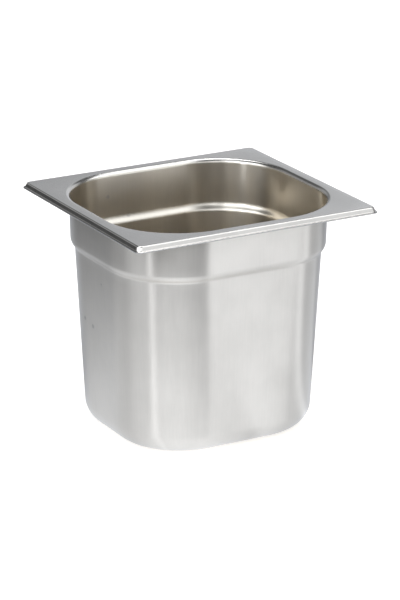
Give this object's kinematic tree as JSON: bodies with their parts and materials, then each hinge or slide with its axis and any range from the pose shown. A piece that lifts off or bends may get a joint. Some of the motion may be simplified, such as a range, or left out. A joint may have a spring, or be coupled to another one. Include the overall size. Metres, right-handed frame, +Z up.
{
  "type": "deli food pan",
  "caption": "Deep rectangular stainless-steel food pan with wide rounded corners, a stacking shoulder and a flat flange whose rim is turned down.",
  "frame": {"origin": "centre of the underside of the flat floor, which is what the pan stands on", "axes": "+Z up out of the mouth, +X along the flange's 176 mm side, +Y along its 162 mm side"},
  "size_m": [0.176, 0.162, 0.155],
  "materials": {
    "brushed_steel": "fine satin brushing outside and on the flange, a brighter half-polished food side"
  },
  "bodies": {
    "root": {"pan": "brushed_steel"}
  },
  "joints": []
}
